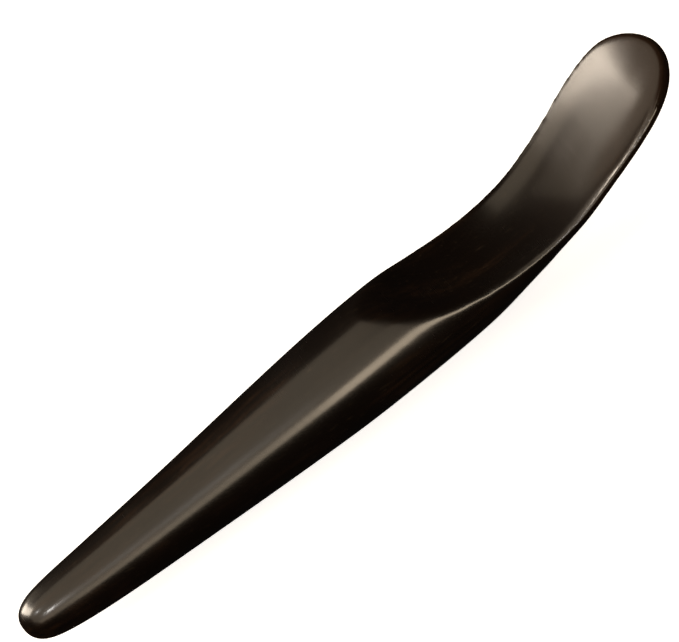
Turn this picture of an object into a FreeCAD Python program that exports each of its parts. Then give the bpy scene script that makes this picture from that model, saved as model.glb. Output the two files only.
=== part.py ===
"""Gua sha scraper, ground from one blank of horn: a tapering handle, a scooped hollow and a raised blade.

The blank is lofted through sections along the handle's axis (X, from the tip; Z up on the hollow's side).
The hollow is swept out of its top, the rim left between the two is rounded, and a narrow flat is rubbed
under the belly. Lengths are in millimetres.
"""
import FreeCAD, Part
import math
import os

import Sketcher
from FreeCAD import Placement, Rotation, Vector

# Round sections of the nose: the step from the section before, the width, and the centre's height above
# the axis.
NOSE_SECTIONS = [
    ("tip", 0.0, 1.6, 1.25),
    ("nose_end", 0.35, 3.6, 1.2),
    ("nose_front", 1.25, 6.9, 1.1),
    ("nose_side", 2.6, 9.3, 1.0),
    ("nose_back", 4.3, 10.8, 0.75),
]
# Sections of the handle: the step, the width, how much less deep than wide it is, and the centre's height.
# The slight flatness keeps the scraper from rolling over when it lies on its belly.
HANDLE_SECTIONS = [
    ("grip_front", 7.5, 12.35, 0.3, 0.35),
    ("grip", 20.0, 15.3, 0.7, 0.0),
    ("grip_back", 24.0, 18.85, 1.1, 0.0),
    ("belly_front", 13.0, 20.45, 1.4, 0.05),
    ("belly", 13.0, 20.95, 1.4, 0.15),
    ("belly_back", 11.0, 20.7, 1.4, 0.15),
    ("neck", 6.0, 20.8, 1.2, 0.7),
]
# Sections under the hollow: the step, the width, the thickness left under the hollow's floor, and how far
# the widest level lies below the rim. The first three are under the floor's arc, the rest under the face.
BLADE_SECTIONS = [
    ("neck_back", 8.5, 21.7, 7.9, 0.5),
    ("blade_root", 6.5, 22.8, 5.9, 0.4),
    ("blade_lower", 8.0, 24.4, 4.1, 0.4),
    ("blade_middle", 8.0, 25.7, 3.2, 0.4),
    ("blade_upper", 8.0, 26.2, 3.0, 0.4),
    ("end_shoulder", 6.0, 24.4, 2.9, 0.4),
    ("end_curve", 4.5, 18.8, 2.8, 0.4),
    ("end_front", 2.5, 12.2, 2.4, 0.4),
    ("end_edge", 1.1, 6.0, 1.5, 0.4),
]
UNDER_FLOOR_ARC = ("neck_back", "blade_root", "blade_lower")
END_POINT = {"end_point_step": 0.35, "end_point_drop": 0.4}

HOLLOW = {
    "shoulder_clearance": 0.35,  # height at which the sweep comes in over the belly's top
    "shoulder_radius": 20.0,  # eases the handle's top into the hollow
    "descent_angle": 28.0,
    "floor_radius": 45.0,
    "floor_rise": 0.9,  # lowest point of the floor, above the handle's axis
    "floor_from_belly": 27.0,  # along the axis, from the belly to that lowest point
    "blade_angle": 24.0,  # between the blade's face and the handle's axis
    "cross_radius": 35.0,  # of the hollow, from side to side
    "cut_width": 30.0,
    "cut_height": 16.0,
    "run_in": 44.0,  # from the floor's lowest point back to the sweep's start, in the air over the handle
    "run_out": 36.0,  # length of the straight sweep up the blade, past its end
}
FINISH = {
    "rim_radius": 1.0,
    "rest_pitch": 2.0,  # lying on its belly, the handle's axis climbs by this many degrees
    "flat_depth": 0.1,  # how deep the belly is rubbed flat, so that the scraper lies without rolling
    "flat_reach": 100.0,  # length of the cut that makes the flat, which is longer than the flat itself
    "flat_cut_depth": 6.0,
}

doc = FreeCAD.newDocument("gua_sha_scraper")
sheet = doc.addObject("Spreadsheet::Sheet", "Sizes")
body = doc.addObject("PartDesign::Body", "Scraper")
body.Label = "scraper"


def fill_sheet():
    """Writes every driving size as a plain number with its name as the alias."""
    sizes = {}
    for name, step, wide, rise in NOSE_SECTIONS:
        sizes.update({f"{name}_step": step, f"{name}_wide": wide, f"{name}_rise": rise})
    for name, step, wide, flat, rise in HANDLE_SECTIONS:
        sizes.update({f"{name}_step": step, f"{name}_wide": wide, f"{name}_rise": rise})
        sizes[f"{name}_flat"] = flat
    for name, step, wide, thick, drop in BLADE_SECTIONS:
        sizes.update({f"{name}_step": step, f"{name}_wide": wide, f"{name}_thick": thick})
        sizes[f"{name}_drop"] = drop
    for group in (END_POINT, HOLLOW, FINISH):
        sizes.update(group)
    for row, (alias, value) in enumerate(sizes.items(), 1):
        sheet.set(f"A{row}", alias)
        sheet.set(f"B{row}", str(value))
        sheet.setAlias(f"B{row}", alias)


def sketch_on(plane, name):
    """A new sketch on one of the body's own planes."""
    sketch = body.newObject("Sketcher::SketchObject", name)
    sketch.AttachmentSupport = [(next(f for f in body.Origin.OriginFeatures if f.Role == plane), "")]
    sketch.MapMode = "FlatFace"
    return sketch


def bind(sketch, name, formula, kind, *where):
    """Adds a dimension to the sketch and ties it to a formula of the sheet's cells."""
    index = sketch.addConstraint(Sketcher.Constraint(kind, *where))
    sketch.renameConstraint(index, name)
    sketch.setExpression(f"Constraints.{name}", formula)


def section_sketch(name, previous, rise):
    """A sketch across the axis, one step past the section before it and centred at the height given."""
    sketch = sketch_on("YZ_Plane", name)
    before = f"{previous.Name}.AttachmentOffset.Base.z + " if previous else ""
    sketch.setExpression("AttachmentOffset.Base.z", f"{before}Sizes.{name}_step * 1 mm")
    sketch.setExpression("AttachmentOffset.Base.y", f"({rise}) * 1 mm")
    return sketch


def round_outline(sketch, name, wide):
    sketch.addGeometry(Part.Circle(Vector(), Vector(0, 0, 1), wide / 2))
    sketch.addConstraint(Sketcher.Constraint("Coincident", 0, 3, -1, 1))
    bind(sketch, "wide", f"Sizes.{name}_wide", "Diameter", 0, wide)


def oval_outline(sketch, name, wide, deep, deep_formula):
    """An oval lying flat: its width is never less than its depth."""
    sketch.addGeometry(Part.Ellipse(Vector(wide / 2, 0, 0), Vector(0, deep / 2, 0), Vector()))
    sketch.exposeInternalGeometry(0)
    sketch.addConstraint(Sketcher.Constraint("Coincident", 0, 3, -1, 1))
    sketch.addConstraint(Sketcher.Constraint("Horizontal", 1))
    bind(sketch, "wide", f"Sizes.{name}_wide", "Distance", 1, wide)
    bind(sketch, "deep", deep_formula, "Distance", 2, deep)


def floor_height(name, previous, under_arc):
    """Formula for the height of the hollow's floor above the axis at a section."""
    along = (
        f"({previous.Name}.AttachmentOffset.Base.z - belly.AttachmentOffset.Base.z) / 1 mm"
        f" + Sizes.{name}_step - Sizes.floor_from_belly"
    )
    level = "Sizes.floor_rise + Sizes.floor_radius"
    if under_arc:
        return f"{level} - sqrt(Sizes.floor_radius ^ 2 - ({along}) ^ 2)"
    angle = "Sizes.blade_angle * 1 deg"
    return f"{level} - Sizes.floor_radius / cos({angle}) + ({along}) * tan({angle})"


def blade_section(name, wide, thick, drop, previous):
    """An oval, widest just below the rim, whose lowest point leaves the thickness given."""
    rim = f"Sizes.{name}_wide ^ 2 / (8 * Sizes.cross_radius) - Sizes.{name}_drop"
    floor = floor_height(name, previous, name in UNDER_FLOOR_ARC)
    sketch = section_sketch(name, previous, f"{floor} + {rim}")
    deep = 2 * (wide**2 / (8 * HOLLOW["cross_radius"]) - drop + thick)
    oval_outline(sketch, name, wide, deep, f"2 * ({rim} + Sizes.{name}_thick)")
    return sketch


def end_point(previous):
    """The single point that the end's sections close on."""
    floor = floor_height("end_point", previous, False)
    sketch = section_sketch("end_point", previous, f"{floor} - Sizes.end_point_drop")
    sketch.addGeometry(Part.Point(Vector()))
    sketch.addConstraint(Sketcher.Constraint("Coincident", 0, 1, -1, 1))
    return sketch


def blank():
    """The outer shape before it is hollowed: nose, handle, then the blade, which narrows to a point."""
    sections = []
    for name, _, wide, _ in NOSE_SECTIONS:
        sketch = section_sketch(name, sections[-1] if sections else None, f"Sizes.{name}_rise")
        round_outline(sketch, name, wide)
        sections.append(sketch)
    for name, _, wide, flat, _ in HANDLE_SECTIONS:
        sketch = section_sketch(name, sections[-1], f"Sizes.{name}_rise")
        oval_outline(sketch, name, wide, wide - flat, f"Sizes.{name}_wide - Sizes.{name}_flat")
        sections.append(sketch)
    for name, _, wide, thick, drop in BLADE_SECTIONS:
        sections.append(blade_section(name, wide, thick, drop, sections[-1]))
    sections.append(end_point(sections[-1]))
    loft = body.newObject("PartDesign::AdditiveLoft", "Blank")
    loft.Profile = (sections[0], [""])
    loft.Sections = [(section, [""]) for section in sections[1:]]
    doc.recompute()
    return loft


FLOOR_ALONG = "belly.AttachmentOffset.Base.z + Sizes.floor_from_belly * 1 mm"
PATH_RISE = "(Sizes.belly_wide - Sizes.belly_flat) / 2 + Sizes.belly_rise + Sizes.shoulder_clearance"


def hollow_path():
    """The hollow's floor seen from the side: over the handle, down, round the floor and up the blade."""
    down = math.radians(HOLLOW["descent_angle"])
    up = math.radians(HOLLOW["blade_angle"])
    floor_radius = HOLLOW["floor_radius"]
    shoulder_radius = HOLLOW["shoulder_radius"]
    belly = doc.getObject("belly")
    belly_top = belly.AttachmentOffset.Base.y + belly.getDatum("deep").Value / 2

    floor_along = belly.AttachmentOffset.Base.z + HOLLOW["floor_from_belly"]
    centre = Vector(floor_along, HOLLOW["floor_rise"] + floor_radius, 0)
    dip = centre - Vector(math.sin(down), math.cos(down), 0) * floor_radius
    lowest = centre - Vector(0, floor_radius, 0)
    rise = centre + Vector(math.sin(up), -math.cos(up), 0) * floor_radius
    end = rise + Vector(math.cos(up), math.sin(up), 0) * HOLLOW["run_out"]
    top = belly_top + HOLLOW["shoulder_clearance"]
    descent_top = top - shoulder_radius * (1 - math.cos(down))
    descent = Vector(dip.x - (descent_top - dip.y) / math.tan(down), descent_top, 0)
    shoulder = Vector(descent.x - shoulder_radius * math.sin(down), top, 0)
    bend = down / 2
    middle = shoulder + Vector(math.sin(bend), math.cos(bend) - 1, 0) * shoulder_radius
    start = Vector(centre.x - HOLLOW["run_in"], top, 0)

    path = sketch_on("XZ_Plane", "hollow_path")
    path.addGeometry(Part.LineSegment(start, shoulder))
    path.addGeometry(Part.ArcOfCircle(shoulder, middle, descent))
    path.addGeometry(Part.LineSegment(descent, dip))
    path.addGeometry(Part.ArcOfCircle(dip, lowest, rise))
    path.addGeometry(Part.LineSegment(rise, end))
    path.addConstraint(Sketcher.Constraint("Horizontal", 0))
    path.addConstraint(Sketcher.Constraint("Tangent", 0, 2, 1, 2))
    path.addConstraint(Sketcher.Constraint("Tangent", 1, 1, 2, 1))
    path.addConstraint(Sketcher.Constraint("Tangent", 2, 2, 3, 1))
    path.addConstraint(Sketcher.Constraint("Tangent", 3, 2, 4, 1))
    bind(path, "shoulder_radius", "Sizes.shoulder_radius", "Radius", 1, shoulder_radius)
    bind(path, "floor_radius", "Sizes.floor_radius", "Radius", 3, floor_radius)
    bind(path, "descent_angle", "-Sizes.descent_angle * 1 deg", "Angle", 2, -down)
    bind(path, "blade_angle", "Sizes.blade_angle * 1 deg", "Angle", 4, up)
    bind(path, "path_rise", PATH_RISE, "DistanceY", -1, 1, 0, 1, top)
    bind(path, "run_in", "Sizes.run_in", "DistanceX", 0, 1, 3, 3, HOLLOW["run_in"])
    bind(path, "centre_rise", "Sizes.floor_rise + Sizes.floor_radius", "DistanceY", -1, 1, 3, 3, centre.y)
    bind(path, "centre_along", FLOOR_ALONG, "DistanceX", -1, 1, 3, 3, centre.x)
    bind(path, "run_out", "Sizes.run_out", "Distance", 4, HOLLOW["run_out"])
    return path


def hollow_section():
    """What the sweep takes away: everything above a shallow arc from side to side."""
    half = HOLLOW["cut_width"] / 2
    top = HOLLOW["cut_height"]
    radius = HOLLOW["cross_radius"]
    edge = radius - math.sqrt(radius**2 - half**2)

    section = sketch_on("YZ_Plane", "hollow_section")
    section.setExpression("AttachmentOffset.Base.z", f"{FLOOR_ALONG} - Sizes.run_in * 1 mm")
    section.setExpression("AttachmentOffset.Base.y", f"({PATH_RISE}) * 1 mm")
    section.addGeometry(Part.ArcOfCircle(Vector(-half, edge, 0), Vector(), Vector(half, edge, 0)))
    section.addGeometry(Part.LineSegment(Vector(half, edge, 0), Vector(half, top, 0)))
    section.addGeometry(Part.LineSegment(Vector(half, top, 0), Vector(-half, top, 0)))
    section.addGeometry(Part.LineSegment(Vector(-half, top, 0), Vector(-half, edge, 0)))
    for line in range(4):
        section.addConstraint(Sketcher.Constraint("Coincident", line, 2, (line + 1) % 4, 1))
    section.addConstraint(Sketcher.Constraint("Vertical", 1))
    section.addConstraint(Sketcher.Constraint("Horizontal", 2))
    section.addConstraint(Sketcher.Constraint("Symmetric", 0, 1, 0, 2, -2))
    section.addConstraint(Sketcher.Constraint("PointOnObject", 0, 3, -2))
    bind(section, "cross_radius", "Sizes.cross_radius", "Radius", 0, radius)
    bind(section, "centre_rise", "Sizes.cross_radius", "DistanceY", -1, 1, 0, 3, radius)
    bind(section, "cut_width", "Sizes.cut_width", "DistanceX", 2, 2, 2, 1, 2 * half)
    bind(section, "cut_height", "Sizes.cut_height", "DistanceY", -1, 1, 2, 1, top)
    return section


def hollow():
    """Sweeps the section along the path and takes it out of the blank's top."""
    path = hollow_path()
    sweep = body.newObject("PartDesign::SubtractivePipe", "Hollow")
    sweep.Profile = (hollow_section(), [""])
    sweep.Spine = (path, [f"Edge{number + 1}" for number in range(path.GeometryCount)])
    doc.recompute()
    return sweep


def rounded_rim(carved):
    """Rounds every edge between the blank's own face, the largest, and the faces that the sweep left."""
    outer, *others = sorted(carved.Shape.Faces, key=lambda face: -face.Area)
    swept = [face for face in others if not isinstance(face.Surface, Part.Plane)]
    rim = []
    for number, edge in enumerate(carved.Shape.Edges, 1):
        on_outer = any(edge.isSame(side) for side in outer.Edges)
        on_swept = any(edge.isSame(side) for face in swept for side in face.Edges)
        if on_outer and on_swept:
            rim.append(f"Edge{number}")
    fillet = body.newObject("PartDesign::Fillet", "Rim")
    fillet.Base = (carved, rim)
    fillet.setExpression("Radius", "Sizes.rim_radius")
    doc.recompute()
    return fillet


def resting_flat():
    """Rubs a narrow flat under the belly, level with what the scraper lies on."""
    pitch = math.radians(FINISH["rest_pitch"])
    reach = FINISH["flat_reach"]
    depth = FINISH["flat_cut_depth"]
    front = doc.getObject("belly_front")
    radius = front.getDatum("deep").Value / 2
    along = front.AttachmentOffset.Base.z
    level = front.AttachmentOffset.Base.y - radius + FINISH["flat_depth"]
    middle = Vector(along, level, 0)
    level_run = Vector(math.cos(pitch), -math.sin(pitch), 0) * reach / 2
    down = Vector(-math.sin(pitch), -math.cos(pitch), 0) * depth

    flat = sketch_on("XZ_Plane", "flat_section")
    corners = [middle - level_run, middle + level_run, middle + level_run + down, middle - level_run + down]
    for start, end in zip(corners, corners[1:] + corners[:1]):
        flat.addGeometry(Part.LineSegment(start, end))
    for line in range(4):
        flat.addConstraint(Sketcher.Constraint("Coincident", line, 2, (line + 1) % 4, 1))
    for line in range(3):
        flat.addConstraint(Sketcher.Constraint("Perpendicular", line, line + 1))
    flat.addGeometry(Part.Point(middle), True)
    flat.addConstraint(Sketcher.Constraint("Symmetric", 0, 1, 0, 2, 4, 1))
    height = (
        "(Sizes.belly_front_wide - Sizes.belly_front_flat) / 2"
        " - Sizes.belly_front_rise - Sizes.flat_depth"
    )
    bind(flat, "rest_pitch", "-Sizes.rest_pitch * 1 deg", "Angle", 0, -pitch)
    bind(flat, "along", "belly_front.AttachmentOffset.Base.z", "DistanceX", -1, 1, 4, 1, along)
    bind(flat, "height", height, "DistanceY", 4, 1, -1, 1, -level)
    bind(flat, "flat_reach", "Sizes.flat_reach", "Distance", 0, reach)
    bind(flat, "flat_cut_depth", "Sizes.flat_cut_depth", "Distance", 1, depth)

    pocket = body.newObject("PartDesign::Pocket", "Flat")
    pocket.Profile = (flat, [""])
    pocket.SideType = "Symmetric"
    pocket.setExpression("Length", "Sizes.cut_width")
    doc.recompute()


def set_down():
    """Tilts the scraper onto its belly, with the origin under the middle of its box."""
    tilt = Rotation(Vector(0, 1, 0), -FINISH["rest_pitch"])
    body.Placement = Placement(Vector(), tilt)
    box = body.Shape.optimalBoundingBox(False, False)
    body.Placement = Placement(-Vector(box.Center.x, box.Center.y, box.ZMin), tilt)


def check():
    """Stops the build if any object failed or the body isn't one valid solid."""
    doc.recompute()
    for item in doc.Objects:
        if {"Invalid", "Error"} & set(item.State):
            raise RuntimeError(f"{item.Name}: {item.getStatusString()}")
    shape = body.Shape
    if shape.isNull() or not shape.isValid() or len(shape.Solids) != 1:
        raise RuntimeError("the scraper isn't one valid solid")


fill_sheet()
doc.recompute()
blank()
rounded_rim(hollow())
resting_flat()
set_down()
check()

os.makedirs("parts", exist_ok=True)
body.Shape.exportStep("parts/scraper.step")
box = body.Shape.optimalBoundingBox(False, False)
print(f"scraper: {box.XLength:.2f} x {box.YLength:.2f} x {box.ZLength:.2f} mm, {body.Shape.Volume:.0f} mm3")
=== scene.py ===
"""Gua sha scraper of polished horn, lying on its belly with the hollow upwards."""
import math

import bmesh
import bpy
from mathutils import Euler, Matrix, Vector


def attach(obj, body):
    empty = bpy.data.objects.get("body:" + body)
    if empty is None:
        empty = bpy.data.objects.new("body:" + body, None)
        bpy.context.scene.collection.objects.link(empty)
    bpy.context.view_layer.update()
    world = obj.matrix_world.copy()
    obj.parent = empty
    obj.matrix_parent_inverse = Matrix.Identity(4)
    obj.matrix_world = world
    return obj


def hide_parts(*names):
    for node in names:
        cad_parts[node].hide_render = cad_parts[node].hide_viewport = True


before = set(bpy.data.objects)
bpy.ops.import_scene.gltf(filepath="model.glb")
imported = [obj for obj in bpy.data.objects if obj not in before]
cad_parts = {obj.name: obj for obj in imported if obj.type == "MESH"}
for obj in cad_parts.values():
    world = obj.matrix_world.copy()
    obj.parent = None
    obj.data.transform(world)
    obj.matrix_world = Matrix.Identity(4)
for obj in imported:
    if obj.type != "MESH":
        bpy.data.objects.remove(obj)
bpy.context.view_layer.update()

MM = 0.001

# The outer shape along the handle's axis, in mm: the distance from the tip, the half width, the half depth
# and the centre's height.
STATIONS = [
    (0.0, 0.0, 0.0, 1.25),
    (0.35, 1.8, 1.8, 1.2),
    (1.6, 3.45, 3.45, 1.1),
    (4.2, 4.65, 4.65, 1.0),
    (8.5, 5.4, 5.4, 0.75),
    (16.0, 6.175, 6.025, 0.35),
    (36.0, 7.65, 7.3, 0.0),
    (60.0, 9.425, 8.875, 0.0),
    (73.0, 10.225, 9.525, 0.05),
    (86.0, 10.475, 9.775, 0.15),
    (97.0, 10.35, 9.65, 0.15),
    (103.0, 10.4, 9.8, 0.7),
    (111.5, 10.85, 9.1, 2.1),
    (118.0, 11.35, 7.35, 2.7),
    (126.0, 12.1, 5.55, 4.25),
    (130.0, 12.25, 4.85, 5.6),
    (134.0, 12.45, 4.55, 7.3),
    (142.0, 12.65, 4.4, 10.75),
    (148.0, 11.6, 3.85, 12.8),
    (152.5, 8.55, 2.8, 13.5),
    (154.8, 5.2, 1.8, 13.75),
    (155.8, 2.4, 0.8, 13.9),
    (156.1, 0.0, 0.0, 13.85),
]
CAGE_STEP = 2.2  # spacing of the rings that the shape is drawn out in
CAGE_SIDES = 32

# The hollow's floor seen from the side, from the handle to the blade's end, in mm.
SHOULDER_TOP = 10.275
SHOULDER_RADIUS = 20.0
DESCENT = math.radians(28.0)
FLOOR_LOW = (113.0, 0.9)
FLOOR_RADIUS = 45.0
BLADE_ANGLE = math.radians(20.0)  # where the floor's arc turns into the blade's face
FACE_RADIUS = 190.0
FACE_ANGLE = math.radians(26.0)  # the steepest that the face gets, before it levels out to its end
END_RADIUS = 90.0
END_ANGLE = math.radians(18.0)
SHOULDER_STEPS = 24
FLOOR_STEPS = 80
FACE_STEPS = 40

# The scoop that cuts the hollow, in mm.
CROSS_RADIUS = 35.0  # of the hollow, from side to side
CROSS_STEPS = 60
RUN_IN = 44.0  # how far back over the handle the scoop starts
CUT_WIDTH = 30.0
CUT_HEIGHT = 16.0

# How the scraper lies in the frame.
REST_PITCH = math.radians(2.0)
TIP_AT = (-77.579, 0.0, 6.822)  # where the tip end of the handle's axis is, in mm

# The camera: how far it stands round the handle and turns on its own axis, what it looks at along the
# handle (mm), and its distance and the width that it takes in (m).
VIEW_RISE = math.radians(45.0)
VIEW_TURN = math.radians(39.25)
VIEW_CENTRE = (79.73, 5.64, 5.64)
VIEW_DISTANCE = 2.5
VIEW_WIDTH = 0.12287
SENSOR = 36

# How the carved shape is rubbed smooth: the mesh's spacing (mm), the passes, and a turn that keeps the
# rim askew to the mesh, so that it gets no steps.
RUB = 0.5  # how far one pass moves the surface
FINE_VOXEL = 0.2
RIM_SMOOTHING = 70
VOXEL = 0.36
LAST_SMOOTHING = 6
SKEW = Euler((0.6, 0.45, 0.7)).to_matrix()
# The lip round the start of the hollow is rubbed softer than the blade's rim.
LIP_AT = 108.0
LIP_REACH = 28.0
LIP_FLOOR = -2.0
LIP_SMOOTHING = 110

# Lamp colours, and the lamps that stand in rows along the handle: how far round it each one stands
# (degrees up from behind), its width, where it ends along X, its length (m), and its brightness.
WARM = (1.0, 0.82, 0.60)
PALE = (1.0, 0.87, 0.72)
WHITE = (1.0, 0.97, 0.94)
BLADE_MIDDLE = (146, 0, 12)
ROW_MIDDLE = (78, 0, 0)
ROW_DISTANCE = 0.6
ROW_LAMPS = (
    ("back_box", 30, 0.62, -0.16, 1.0, 0.42),
    ("top_box", 87, 0.53, 0.0, 1.0, 1.00),
    ("front_box", 131, 0.45, 0.05, 1.0, 1.02),
    ("front_strip", 158, 0.14, 0.3, 0.95, 1.75),
    ("lip_strip", 155, 0.17, 0.3, 0.40, 5.30),
)


def pick(piece):
    """Leaves only this piece selected, and active."""
    bpy.ops.object.select_all(action="DESELECT")
    piece.select_set(True)
    bpy.context.view_layer.objects.active = piece


def settle(piece):
    """Puts a piece's place, turn and scale into its mesh."""
    pick(piece)
    bpy.ops.object.transform_apply(location=True, rotation=True, scale=True)


def horn_curve(stations, spacing):
    """Points along a smooth curve through the stations, so that the rings between them swell evenly."""
    points = [Vector(station) for station in stations]
    before = points[0] * 2 - points[1]
    after = points[-1] * 2 - points[-2]
    chain = [before] + points + [after]
    curve = []
    for p0, p1, p2, p3 in zip(chain, chain[1:], chain[2:], chain[3:]):
        reach = (p2 - p1).length
        start = ((p2 - p1) / reach + (p1 - p0) / (p1 - p0).length) / 2 * reach
        finish = ((p2 - p1) / reach + (p3 - p2) / (p3 - p2).length) / 2 * reach
        steps = max(2, round(reach / spacing))
        for step in range(steps):
            u = step / steps
            curve.append(
                p1 * (2 * u**3 - 3 * u**2 + 1)
                + start * (u**3 - 2 * u**2 + u)
                + p2 * (3 * u**2 - 2 * u**3)
                + finish * (u**3 - u**2)
            )
    return curve


def draw_out_blank():
    """The blank as by hand: one ring at the tip, drawn out and resized ring by ring to the blade's end."""
    rings = horn_curve(STATIONS, CAGE_STEP)[1:]
    shrink = 3 / (2 + math.cos(2 * math.pi / CAGE_SIDES))
    bpy.ops.object.select_all(action="DESELECT")
    along, half_width, half_depth, rise = rings[0]
    bpy.ops.mesh.primitive_circle_add(
        vertices=CAGE_SIDES,
        radius=1,
        location=(along * MM, 0, rise * MM),
        rotation=(math.pi / 2, 0, math.pi / 2),
    )
    blank = bpy.context.object
    bpy.ops.object.transform_apply(location=False, rotation=True, scale=False)
    size = (1, half_width * shrink * MM, half_depth * shrink * MM)
    bpy.ops.object.mode_set(mode="EDIT")
    bpy.ops.mesh.select_all(action="SELECT")
    bpy.ops.transform.resize(value=size, center_override=(along * MM, 0, rise * MM))
    bpy.ops.mesh.edge_face_add()
    bpy.ops.mesh.select_all(action="SELECT")
    for last, ring in zip(rings, rings[1:]):
        move = (Vector((ring[0], 0, ring[3])) - Vector((last[0], 0, last[3]))) * MM
        bpy.ops.mesh.extrude_region_move(TRANSFORM_OT_translate={"value": move})
        centre = (ring[0] * MM, 0, ring[3] * MM)
        bpy.ops.transform.resize(value=(1, ring[1] / last[1], ring[2] / last[2]), center_override=centre)
    bpy.ops.object.mode_set(mode="OBJECT")
    return blank


def hollow_path():
    """The floor seen from the side: over the shoulder, down, round the floor and up the blade's face."""
    low_x, low_z = FLOOR_LOW
    centre_x, centre_z = low_x, low_z + FLOOR_RADIUS
    fall_x = centre_x - FLOOR_RADIUS * math.sin(DESCENT)
    fall_z = centre_z - FLOOR_RADIUS * math.cos(DESCENT)
    brow_z = SHOULDER_TOP - SHOULDER_RADIUS * (1 - math.cos(DESCENT))
    brow_x = fall_x - (brow_z - fall_z) / math.tan(DESCENT)
    top_x = brow_x - SHOULDER_RADIUS * math.sin(DESCENT)
    path = [(top_x - RUN_IN, SHOULDER_TOP, 0.0), (top_x, SHOULDER_TOP, 0.0)]
    for step in range(1, SHOULDER_STEPS + 1):
        lean = DESCENT * step / SHOULDER_STEPS
        x = top_x + SHOULDER_RADIUS * math.sin(lean)
        z = SHOULDER_TOP - SHOULDER_RADIUS * (1 - math.cos(lean))
        path.append((x, z, lean))
    for step in range(FLOOR_STEPS + 1):
        lean = DESCENT - (DESCENT + BLADE_ANGLE) * step / FLOOR_STEPS
        x = centre_x - FLOOR_RADIUS * math.sin(lean)
        z = centre_z - FLOOR_RADIUS * math.cos(lean)
        path.append((x, z, lean))
    face_x = centre_x + (FACE_RADIUS - FLOOR_RADIUS) * math.sin(-BLADE_ANGLE)
    face_z = centre_z + (FACE_RADIUS - FLOOR_RADIUS) * math.cos(BLADE_ANGLE)
    for step in range(1, FACE_STEPS + 1):
        lean = -BLADE_ANGLE - (FACE_ANGLE - BLADE_ANGLE) * step / FACE_STEPS
        x = face_x - FACE_RADIUS * math.sin(lean)
        z = face_z - FACE_RADIUS * math.cos(lean)
        path.append((x, z, lean))
    end_x = path[-1][0] + END_RADIUS * math.sin(FACE_ANGLE)
    end_z = path[-1][1] - END_RADIUS * math.cos(FACE_ANGLE)
    for step in range(1, FACE_STEPS + 1):
        rise = FACE_ANGLE - (FACE_ANGLE - END_ANGLE) * step / FACE_STEPS
        x = end_x - END_RADIUS * math.sin(rise)
        z = end_z + END_RADIUS * math.cos(rise)
        path.append((x, z, -rise))
    return path


def draw_out_cutter():
    """The scoop that hollows the blank: a curved-bottomed section drawn along the hollow's floor."""
    path = hollow_path()
    x, z, _ = path[0]
    bpy.ops.object.select_all(action="DESELECT")
    bpy.ops.mesh.primitive_grid_add(
        x_subdivisions=1,
        y_subdivisions=CROSS_STEPS,
        size=2,
        location=(0, 0, 0),
        rotation=(0, math.pi / 2, 0),
    )
    cutter = bpy.context.object
    bpy.ops.object.transform_apply(location=False, rotation=True, scale=False)
    mesh = bmesh.new()
    mesh.from_mesh(cutter.data)
    for vertex in mesh.verts:
        y = vertex.co.y * CUT_WIDTH / 2
        foot = CROSS_RADIUS - math.sqrt(CROSS_RADIUS**2 - y**2)
        vertex.co = Vector((x, y, z + (foot if vertex.co.z < 0 else CUT_HEIGHT))) * MM
    mesh.to_mesh(cutter.data)
    mesh.free()
    bpy.ops.object.mode_set(mode="EDIT")
    bpy.ops.mesh.select_all(action="SELECT")
    for last, point in zip(path, path[1:]):
        move = Vector((point[0] - last[0], 0, point[1] - last[1])) * MM
        bpy.ops.mesh.extrude_region_move(TRANSFORM_OT_translate={"value": move})
        bpy.ops.transform.rotate(
            value=-(point[2] - last[2]),
            orient_axis="Y",
            center_override=(point[0] * MM, 0, point[1] * MM),
        )
    bpy.ops.mesh.select_all(action="SELECT")
    bpy.ops.mesh.normals_make_consistent(inside=False)
    bpy.ops.object.mode_set(mode="OBJECT")
    return cutter


def apply_modifier(piece, kind, **settings):
    pick(piece)
    modifier = piece.modifiers.new(kind.title(), kind)
    for setting, value in settings.items():
        setattr(modifier, setting, value)
    bpy.ops.object.modifier_apply(modifier=modifier.name)


def turn(piece, rotation):
    """Turns a piece about the origin."""
    piece.matrix_world = rotation.to_4x4()
    settle(piece)


def carve_scraper():
    """The blank, hollowed with the scoop and rubbed smooth, along the handle's axis."""
    blank = draw_out_blank()
    settle(blank)
    bpy.ops.object.mode_set(mode="EDIT")
    bpy.ops.mesh.select_all(action="SELECT")
    bpy.ops.mesh.normals_make_consistent(inside=False)
    bpy.ops.object.mode_set(mode="OBJECT")
    apply_modifier(blank, "SUBSURF", levels=2, render_levels=2)
    cutter = draw_out_cutter()
    apply_modifier(blank, "BOOLEAN", operation="DIFFERENCE", object=cutter, solver="EXACT")
    bpy.data.objects.remove(cutter, do_unlink=True)
    turn(blank, SKEW)
    apply_modifier(blank, "REMESH", mode="VOXEL", voxel_size=FINE_VOXEL * MM, adaptivity=0)
    apply_modifier(blank, "SMOOTH", factor=RUB, iterations=RIM_SMOOTHING)
    apply_modifier(blank, "REMESH", mode="VOXEL", voxel_size=VOXEL * MM, adaptivity=0)
    apply_modifier(blank, "SMOOTH", factor=RUB, iterations=LAST_SMOOTHING)
    turn(blank, SKEW.inverted())
    lip = blank.vertex_groups.new(name="lip")
    for vertex in blank.data.vertices:
        along, side, rise = vertex.co / MM
        near = max(0.0, 1 - abs(along - LIP_AT) / LIP_REACH) * (rise > LIP_FLOOR)
        lip.add([vertex.index], min(1.0, 2 * near), "REPLACE")
    apply_modifier(blank, "SMOOTH", factor=RUB, iterations=LIP_SMOOTHING, vertex_group="lip")
    blank.vertex_groups.clear()
    return blank


def lay_down(piece):
    """Tilts the scraper onto its belly, as the frame's model lies, and rubs the flat that it rests on."""
    piece.rotation_euler = (0, -REST_PITCH, 0)
    piece.location = Vector(TIP_AT) * MM
    settle(piece)
    for vertex in piece.data.vertices:
        vertex.co.z = max(vertex.co.z, 0.0)
    bpy.ops.object.shade_smooth()


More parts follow.
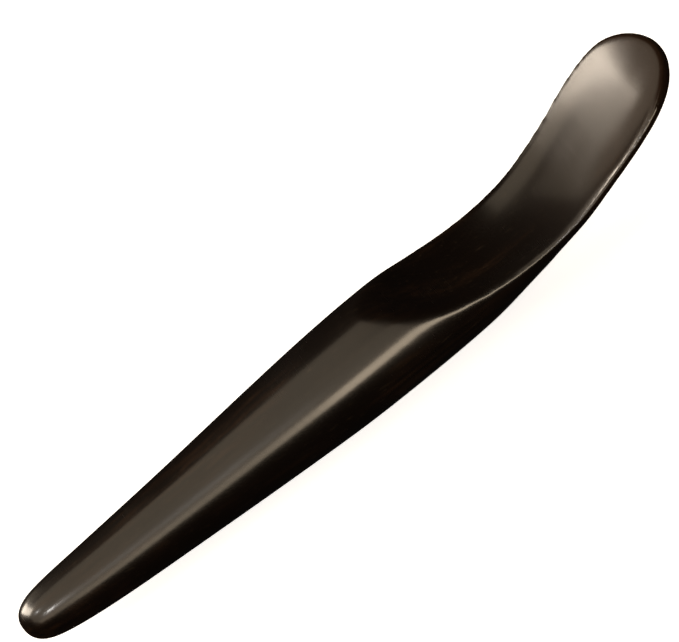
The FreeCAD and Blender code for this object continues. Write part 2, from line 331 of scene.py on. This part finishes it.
class Graph:
    """A material's node tree, with its nodes added and linked by name."""

    def __init__(self, name):
        self.material = bpy.data.materials.new(name)
        self.material.use_nodes = True
        self.tree = self.material.node_tree
        self.tree.nodes.clear()

    def add(self, kind, inputs=None, **settings):
        node = self.tree.nodes.new(kind)
        for setting, value in settings.items():
            setattr(node, setting, value)
        for socket, value in (inputs or {}).items():
            if isinstance(value, bpy.types.NodeSocket):
                self.tree.links.new(value, node.inputs[socket])
            else:
                node.inputs[socket].default_value = value
        return node

    def noise(self, place, stretch, scale, detail=4.0, rough=0.55, warp=0.0):
        """Noise on the place given, drawn out by the stretch along each axis."""
        drawn = self.add("ShaderNodeMapping", {"Vector": place, "Scale": stretch})
        inputs = {
            "Vector": drawn.outputs["Vector"],
            "Scale": scale,
            "Detail": detail,
            "Roughness": rough,
            "Distortion": warp,
        }
        return self.add("ShaderNodeTexNoise", inputs).outputs["Fac"]

    def span(self, value, low, high, to_low=0.0, to_high=1.0):
        inputs = {"Value": value, "From Min": low, "From Max": high, "To Min": to_low, "To Max": to_high}
        return self.add("ShaderNodeMapRange", inputs, interpolation_type="SMOOTHSTEP").outputs["Result"]

    def math(self, operation, first, second):
        return self.add("ShaderNodeMath", {0: first, 1: second}, operation=operation).outputs["Value"]

    def mix(self, factor, first, second):
        node = self.add("ShaderNodeMix", data_type="RGBA", blend_type="MIX")
        for socket, value in ((0, factor), (6, first), (7, second)):
            if isinstance(value, bpy.types.NodeSocket):
                self.tree.links.new(value, node.inputs[socket])
            else:
                node.inputs[socket].default_value = value
        return node.outputs[2]


def horn():
    """Dark horn with a soft gloss: long grain, brown streaks, a smoother blade and faint scratches."""
    graph = Graph("polished_horn")
    place = graph.add("ShaderNodeTexCoord").outputs["Object"]
    axes = graph.add("ShaderNodeSeparateXYZ", {"Vector": place})
    along = axes.outputs["X"]

    cloud = graph.noise(place, (0.35, 1.0, 1.0), 90.0, detail=3.0, warp=0.4)
    grain = graph.noise(place, (0.06, 1.0, 1.0), 900.0, detail=5.0, rough=0.6, warp=0.15)
    fleck = graph.noise(place, (0.12, 1.0, 1.0), 2600.0, detail=2.0, rough=0.5)
    scratch = graph.noise(place, (1.0, 0.05, 0.25), 2400.0, detail=3.0, rough=0.6)
    thumbed = graph.noise(place, (0.6, 1.0, 1.0), 45.0, detail=2.0)

    streak = graph.math("MULTIPLY", graph.span(cloud, 0.42, 0.72), graph.span(grain, 0.35, 0.75))
    thin = graph.span(along, 0.035, 0.078)
    base = graph.mix(streak, (0.0034, 0.0020, 0.0013, 1), (0.018, 0.0090, 0.0045, 1))
    warm = graph.mix(graph.math("MULTIPLY", thin, 0.55), base, (0.020, 0.0100, 0.0050, 1))
    pale = graph.math("MULTIPLY", graph.span(fleck, 0.62, 0.80), 0.18)
    colour = graph.mix(pale, warm, (0.075, 0.055, 0.036, 1))

    rough = graph.span(thumbed, 0.3, 0.7, 0.20, 0.29)
    rough = graph.math("ADD", rough, graph.span(scratch, 0.55, 0.85, 0.0, 0.05))
    rough = graph.math("ADD", rough, graph.math("MULTIPLY", thin, -0.06))

    relief = graph.math("ADD", graph.math("MULTIPLY", grain, 0.6), graph.math("MULTIPLY", scratch, 0.4))
    bump = graph.add("ShaderNodeBump", {"Strength": 0.06, "Distance": 0.00004, "Height": relief})
    shader = graph.add(
        "ShaderNodeBsdfPrincipled",
        {
            "Base Color": colour,
            "Roughness": rough,
            "IOR": 1.54,
            "Coat Weight": 0.25,
            "Coat Roughness": 0.12,
            "Normal": bump.outputs["Normal"],
        },
    )
    output = graph.add("ShaderNodeOutputMaterial")
    graph.tree.links.new(shader.outputs["BSDF"], output.inputs["Surface"])
    return graph.material


def pale_floor():
    """A plain floor that lifts its own shade and isn't seen in the gloss."""
    bpy.ops.object.select_all(action="DESELECT")
    bpy.ops.mesh.primitive_plane_add(size=6, location=(0, 0, 0))
    floor = bpy.context.object
    floor.name = "floor"
    graph = Graph("pale_floor")
    shader = graph.add(
        "ShaderNodeBsdfPrincipled",
        {
            "Base Color": (0.8, 0.8, 0.8, 1),
            "Roughness": 0.9,
            "Specular IOR Level": 0.0,
            "Emission Color": (1, 1, 1, 1),
            "Emission Strength": 0.72,
        },
    )
    output = graph.add("ShaderNodeOutputMaterial")
    graph.tree.links.new(shader.outputs["BSDF"], output.inputs["Surface"])
    floor.data.materials.append(graph.material)
    floor.visible_glossy = False
    floor.visible_diffuse = False


def aimed(direction, roll_to):
    """Rotation for a camera or lamp that stands in a direction and looks back, with its up side set."""
    back = Vector(direction).normalized()
    side = Vector(roll_to).cross(back).normalized()
    return Matrix((side, back.cross(side), back)).transposed()


def soft_box(name, target, direction, distance, size, radiance, colour, roll_to=(0, 0, 1)):
    """A soft light of even brightness, aimed at the target."""
    lamp = bpy.data.lights.new(name, "AREA")
    lamp.shape = "RECTANGLE"
    lamp.size, lamp.size_y = size
    lamp.energy = radiance * math.pi * size[0] * size[1]
    lamp.color = colour
    box = bpy.data.objects.new(name, lamp)
    bpy.context.scene.collection.objects.link(box)
    place = Vector(target) + Vector(direction).normalized() * distance
    box.matrix_world = Matrix.Translation(place) @ aimed(direction, roll_to).to_4x4()


def on_handle(point):
    """A point given along the handle's axis, turned into the scene's frame."""
    lean = Matrix.Rotation(-REST_PITCH, 3, "Y")
    return (lean @ Vector(point) + Vector(TIP_AT)) * MM


def camera():
    """The camera in front of the near side, looking down on the hollow."""
    lean = Matrix.Rotation(-REST_PITCH, 3, "Y")
    back = lean @ Vector((0, -math.sin(VIEW_RISE), math.cos(VIEW_RISE)))
    rise = lean @ Vector((0, math.cos(VIEW_RISE), math.sin(VIEW_RISE)))
    along = lean @ Vector((1, 0, 0))
    up = along * math.sin(VIEW_TURN) + rise * math.cos(VIEW_TURN)
    lens = bpy.data.cameras.new("camera")
    lens.sensor_width = SENSOR
    lens.lens = SENSOR * VIEW_DISTANCE / VIEW_WIDTH
    lens.clip_start = 0.01
    eye = bpy.data.objects.new("camera", lens)
    bpy.context.scene.collection.objects.link(eye)
    place = on_handle(VIEW_CENTRE) + back * VIEW_DISTANCE
    eye.matrix_world = Matrix.Translation(place) @ aimed(back, up).to_4x4()
    bpy.context.scene.camera = eye


def lights():
    """Soft boxes along the handle, a key that lights the blade, and two lamps that glint on the tip."""
    middle = on_handle(ROW_MIDDLE)
    for name, rise, width, end, length, radiance in ROW_LAMPS:
        rise = math.radians(rise)
        target = middle + Vector((end - length / 2, 0, 0))
        toward = (0, math.cos(rise), math.sin(rise))
        soft_box(name, target, toward, ROW_DISTANCE, (width, length), radiance, WARM, (1, 0, 0))
    blade = on_handle(BLADE_MIDDLE)
    toward = (-0.726, 0.512, 0.460)
    soft_box("key", blade, toward, 0.9, (0.28, 0.86), 14.5, PALE, (-0.15, -0.80, 0.57))
    soft_box("near_lamp", middle, (-0.38, -0.66, 0.65), 1.2, (0.12, 0.12), 36.0, WHITE)
    soft_box("small_lamp", middle, (-0.57, -0.22, 0.79), 1.2, (0.08, 0.08), 34.0, WHITE)
    world = bpy.data.worlds.new("studio")
    world.use_nodes = True
    world.node_tree.nodes["Background"].inputs["Color"].default_value = (0.006, 0.006, 0.006, 1)
    bpy.context.scene.world = world


scraper = carve_scraper()
scraper.name = "horn_scraper"
lay_down(scraper)
scraper.data.materials.append(horn())
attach(scraper, "root")
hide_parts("scraper")
pale_floor()
lights()
camera()
bpy.context.scene.view_settings.view_transform = "Standard"
